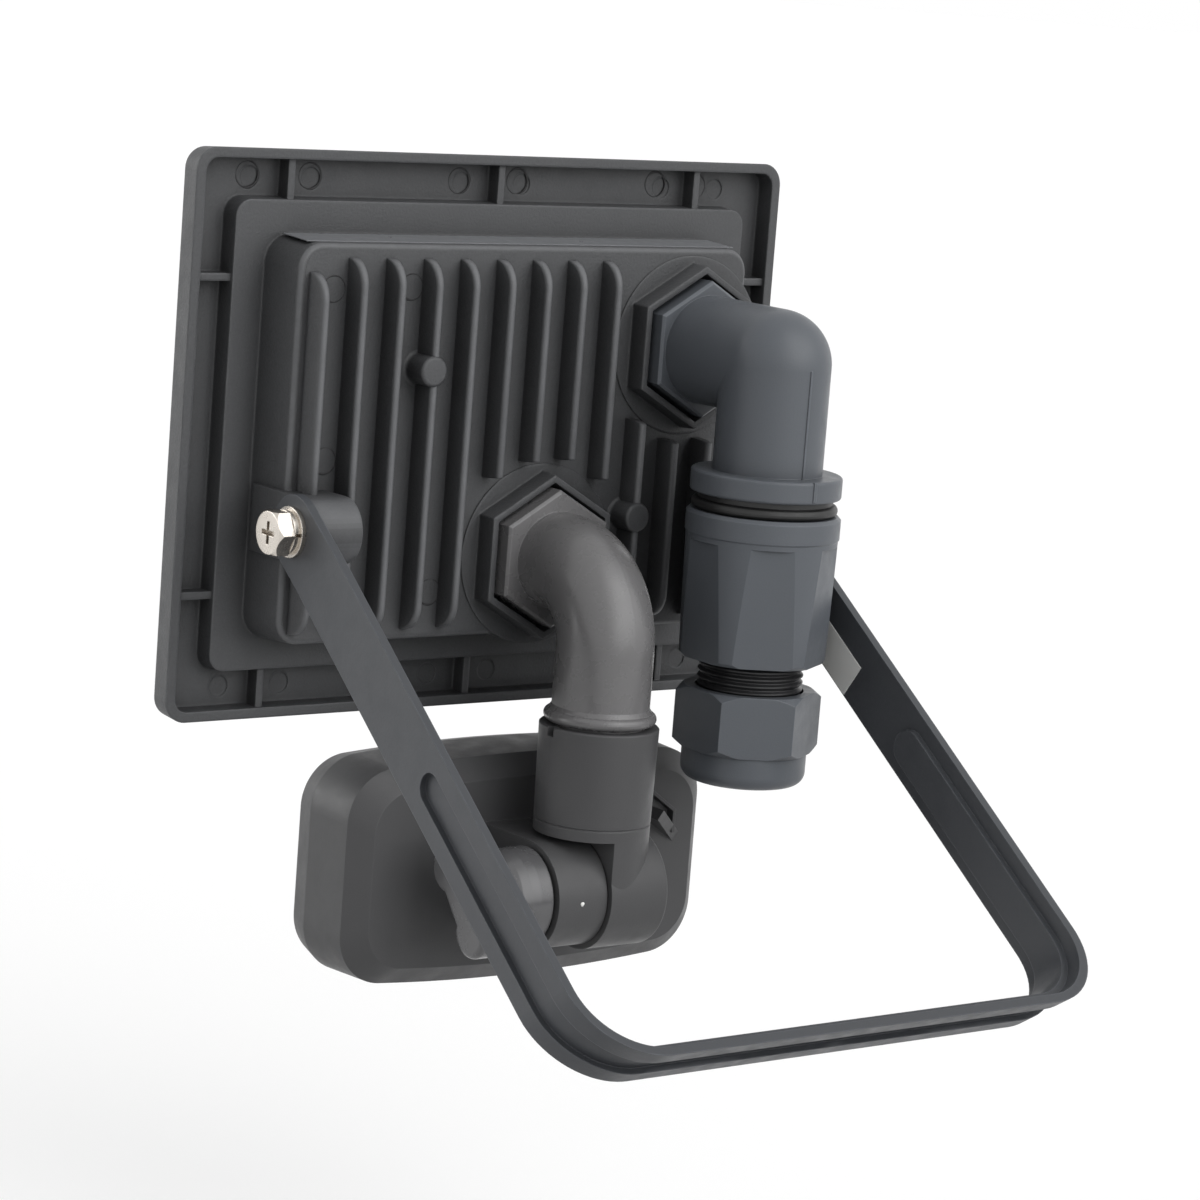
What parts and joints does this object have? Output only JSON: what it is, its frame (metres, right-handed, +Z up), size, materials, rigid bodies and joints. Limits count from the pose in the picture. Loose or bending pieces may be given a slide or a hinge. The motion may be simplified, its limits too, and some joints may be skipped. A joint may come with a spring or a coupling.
{
  "type": "motion sensor floodlight",
  "caption": "Square floodlight with a finned back, tilting U bracket, angled cable gland and a swivelling motion sensor head below.",
  "frame": {"origin": "axis of the bracket's fixing hole, at the floor of the recess on the bracket's outer face", "axes": "lamp upright: +Z up, light shines towards -Y, +X across the lamp towards the side with the tilt knob"},
  "size_m": [0.1724, 0.1754, 0.1998],
  "materials": {
    "housing_paint": "sandy dark grey paint on a casting",
    "bracket_paint": "satin dark grey paint",
    "front_glass": "clear toughened pane",
    "seal_rubber": "matte black",
    "board_white": "white solder mask",
    "chip_yellow": "phosphor coat",
    "chip_black": "moulded",
    "screw_steel": "plated",
    "reflector_white": "satin white",
    "label_film": "blank film",
    "label_white": "blank film",
    "connector_plastic": "bluish grey moulding",
    "elbow_plastic": "smooth grey moulding",
    "sensor_plastic": "matte grey moulding",
    "knob_plastic": "glossy grey moulding",
    "neck_plastic": "black moulding",
    "block_plastic": "natural moulding",
    "lead_cover": "lead covering",
    "lens_plastic": "milky",
    "board_green": "solder mask",
    "can_metal": "plated"
  },
  "bodies": {
    "bracket": {"bracket": "bracket_paint", "arm_label": "label_white"},
    "lamp": {"housing": "housing_paint", "front_glass": "front_glass", "glass_seal": "seal_rubber", "led_board": "board_white", "led_chips": "chip_yellow", "driver_chips": "chip_black", "board_screws": "screw_steel", "reflector": "reflector_white", "rating_label": "label_film", "mains_port_seal": "seal_rubber", "mains_lock_nut": "connector_plastic", "mains_elbow": "connector_plastic", "coupling_seal": "seal_rubber", "coupling_body": "connector_plastic", "terminal_block": "block_plastic", "terminal_screws": "screw_steel", "gland_neck": "neck_plastic", "gland_seal": "seal_rubber", "supply_leads": "lead_cover", "sensor_port_seal": "seal_rubber", "sensor_lock_nut": "elbow_plastic", "sensor_elbow": "elbow_plastic", "sensor_leads": "lead_cover", "flat_washers": "screw_steel", "spring_washers": "screw_steel", "pivot_bolts": "screw_steel"},
    "cable_nut": {"gland_nut": "connector_plastic"},
    "swivel": {"sensor_sleeve": "sensor_plastic", "tilt_bolt": "screw_steel"},
    "sensor_head": {"sensor_back_shell": "sensor_plastic", "sensor_front_shell": "sensor_plastic", "pir_lens": "lens_plastic", "sensor_board": "board_green", "pyro_sensor": "can_metal", "relay": "chip_black", "capacitors": "chip_black"},
    "tilt_knob": {"wing_knob": "knob_plastic", "knob_washer": "seal_rubber"}
  },
  "joints": [
    {"name": "lamp_tilt", "type": "hinge", "parent": "bracket", "child": "lamp", "pos_m": [0, -0.12768, 0.09206], "axis": [1, 0, 0], "range_deg": [-125, 62]},
    {"name": "cable_nut_turn", "type": "hinge", "parent": "lamp", "child": "cable_nut", "pos_m": [-0.0485, -0.10158, 0.04546], "axis": [0, 0, 1], "continuous": true},
    {"name": "sensor_pan", "type": "hinge", "parent": "lamp", "child": "swivel", "pos_m": [-0.007, -0.10628, 0.03546], "axis": [0, 0, 1], "range_deg": [-6, 90]},
    {"name": "sensor_tilt", "type": "hinge", "parent": "swivel", "child": "sensor_head", "pos_m": [0, -0.10628, 0.00636], "axis": [1, 0, 0], "range_deg": [-5, 50]},
    {"name": "tilt_knob_turn", "type": "hinge", "parent": "swivel", "child": "tilt_knob", "pos_m": [0.02, -0.10628, 0.00636], "axis": [1, 0, 0], "continuous": true}
  ]
}
